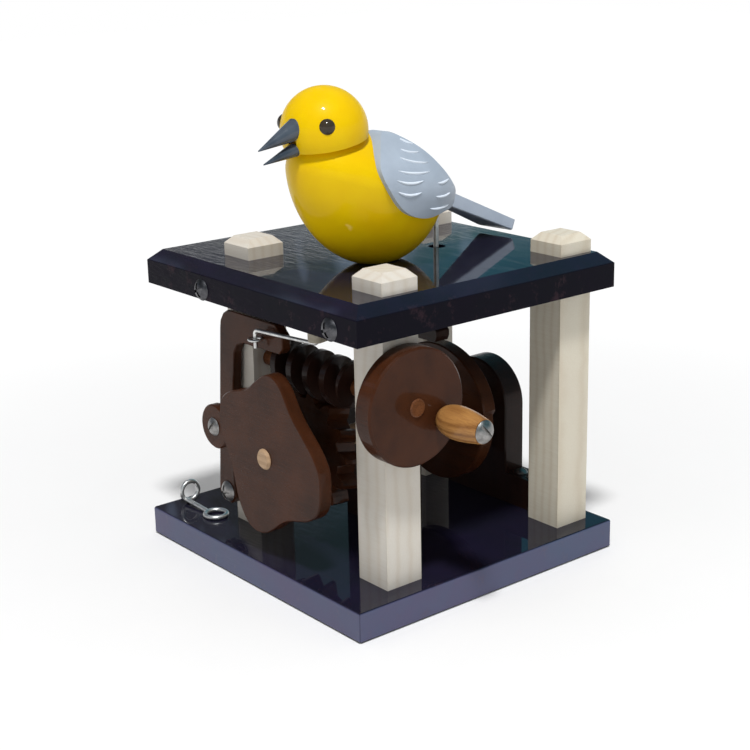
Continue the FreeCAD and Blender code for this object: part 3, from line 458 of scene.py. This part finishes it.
def strokeRows(track):
    # a flat arch at each station, its width falling to both ends as the square root of one
    # minus t squared
    steps, spots, normals = (np.array([station[i] for station in track]) for i in range(3))
    arch = np.linspace(-1.0, 1.0, strokes["columns"])
    narrow = np.sqrt(np.clip(1.0 - (steps / strokes["overrun"]) ** 2, strokes["tip"], 1.0))
    across = np.cross(normals, np.gradient(spots, axis=0))
    across /= np.linalg.norm(across, axis=1)[:, None]
    wide = strokes["halfWidth"] / 1000 * narrow
    lift = (strokes["height"] * narrow ** 0.5 + strokes["sink"]) / 1000
    rise = lift[:, None] * (1 - arch ** 2) - strokes["sink"] / 1000
    return (spots[:, None] + across[:, None] * (wide[:, None] * arch)[..., None]
            + normals[:, None] * rise[..., None])


def strokePiece(name, wing, side):
    # closed strips, one for each line
    outward = birdAxes()[2] * side
    tree = BVHTree.FromObject(wing, bpy.context.evaluated_depsgraph_get())
    columns = strokes["columns"]
    points, faces = [], []
    for line in strokes["lines"]:
        track = castLine(tree, line, outward)
        if len(track) < 4:
            continue
        first = len(points)
        points.extend(strokeRows(track).reshape(-1, 3).tolist())
        for i in range(len(track) - 1):
            for j in range(columns):
                a, b = first + i * columns + j, first + i * columns + (j + 1) % columns
                faces.append((a, b, b + columns, a + columns))
        last = first + (len(track) - 1) * columns
        faces.append(tuple(range(first + columns - 1, first - 1, -1)))
        faces.append(tuple(range(last, last + columns)))
    mesh = bpy.data.meshes.new(name)
    mesh.from_pydata(points, [], faces)
    mesh.shade_smooth()
    piece = bpy.data.objects.new(name, mesh)
    bpy.context.scene.collection.objects.link(piece)
    mesh.materials.append(strokeLook)
    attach(piece, "bird")


strokeLook = paintLook("stroke_paint", dict(greyPaint, light=(0.78, 0.85, 0.93),
                                           deep=(0.70, 0.78, 0.88), speck=(0.82, 0.87, 0.92)))
strokePiece("left_wing_strokes", nodes["left_wing"], 1)
strokePiece("right_wing_strokes", nodes["right_wing"], -1)
print("stage: wing strokes")


# ---- floor, backdrop and lights

studio = {
    "floorSize": 3.0, "floorDrop": 0.0002,
    "floorColour": (0.93, 0.93, 0.93),
    "shadowReach": (0.16, 0.42),     # the floor fades to plain white between these radii
    "worldStrength": 0.42,
    "east": (0.629, 0.777),
    "westColour": (0.10, 0.10, 0.095), "eastColour": (0.03, 0.20, 0.25),
    "dimColour": (0.05, 0.055, 0.07), "streakColour": (0.55, 0.70, 0.95),
    "lamps": (
        # name, place, aim, size, watts
        ("key", (0.70, -0.56, 1.95), (0.0, 0.0, 0.1), 0.26, 35.0),
    ),
}


def seenRays(look):
    # 1 for camera, glossy and transmission rays, so metal and gloss show the same background
    camera = look.node("ShaderNodeLightPath", {}, {}, "Is Camera Ray")
    glossy = look.node("ShaderNodeLightPath", {}, {}, "Is Glossy Ray")
    through = look.node("ShaderNodeLightPath", {}, {}, "Is Transmission Ray")
    return camera.math("MAXIMUM", glossy).math("MAXIMUM", through)


def makeFloor(settings):
    size = settings["floorSize"]
    corners = np.array([[-1, -1], [1, -1], [1, 1], [-1, 1]]) * size
    mesh = bpy.data.meshes.new("floor")
    mesh.from_pydata([(x, y, -settings["floorDrop"]) for x, y in corners.tolist()], [], [(0, 1, 2, 3)])
    floor = bpy.data.objects.new("floor", mesh)
    bpy.context.scene.collection.objects.link(floor)
    look = Look("studio_floor")
    dust = look.noise(look.place(), 0.02, 3.0)
    low, high = settings["floorColour"], tuple(v * 0.98 for v in settings["floorColour"])
    look.finish(Base_Color=look.mix(dust, low, high), Roughness=0.8)
    x, y, z = look.axes(look.place(scale=(0.001, 0.001, 0.001)))
    radius = (x ** 2.0 + y ** 2.0) ** 0.5
    # the lit floor with its shadow close by, plain white further out
    white = look.extra(Base_Color=(0.0, 0.0, 0.0), Emission_Color=(1.0, 1.0, 1.0),
                       Emission_Strength=1.0, Roughness=1.0)
    away = look.ramp(radius, *settings["shadowReach"]) * seenRays(look)
    look.tree.links.new(look.blend(away, look.shader, white).outputs[0],
                        look.end.inputs["Surface"])
    mesh.materials.append(look.material)


def makeWorld(settings):
    # soft even light, and a background that is white about the horizon and turns to a grey
    # and teal studio overhead, the same for camera, glossy and transmission rays
    world = bpy.data.worlds.new("studio")
    bpy.context.scene.world = world
    world.use_nodes = True
    look = Look("", world.node_tree)
    ray = look.node("ShaderNodeTexCoord", {}, {}, "Generated")
    x, y, z = look.axes(ray)
    east = x * settings["east"][0] + y * settings["east"][1]
    streak = look.noise(look.node("ShaderNodeMapping", {"vector_type": "POINT"},
                                  {"Vector": ray, "Scale": (1.0, 1.0, 0.35)}), 14.0, 3.0, 0.65)
    patch = look.noise(ray, 4.0, 2.0, 0.5)
    upper = look.mix(look.ramp(east + patch * 0.3, 0.04, 0.22), settings["westColour"],
                     settings["eastColour"])
    upper = look.mix(look.ramp(patch, 0.50, 0.66, 0.0, 0.6), upper, settings["dimColour"])
    bright = look.ramp(streak, 0.54, 0.62, 0.0, 0.8) * look.ramp(east, -0.02, 0.16, 1.0, 0.3)
    upper = look.mix(bright, upper, settings["streakColour"])
    shown = look.mix(look.ramp(z, 0.08, 0.22), (1.0, 1.0, 1.0), upper)
    even = look.background((1.0, 1.0, 1.0), settings["worldStrength"])
    both = look.blend(seenRays(look), even, look.background(shown, 1.0))
    look.tree.links.new(both.outputs[0], look.end.inputs["Surface"])


def makeLamps(settings):
    for name, place, aim, lampSize, watts in settings["lamps"]:
        data = bpy.data.lights.new(name, "AREA")
        data.shape = "DISK"
        data.size = lampSize
        data.energy = watts
        lamp = bpy.data.objects.new(name, data)
        bpy.context.scene.collection.objects.link(lamp)
        away = Vector(place) - Vector(aim)
        turn = away.to_track_quat("Z", "Y").to_matrix().to_4x4()
        lamp.matrix_world = Matrix.Translation(place) @ turn


makeFloor(studio)
makeWorld(studio)
makeLamps(studio)
print("stage: studio")
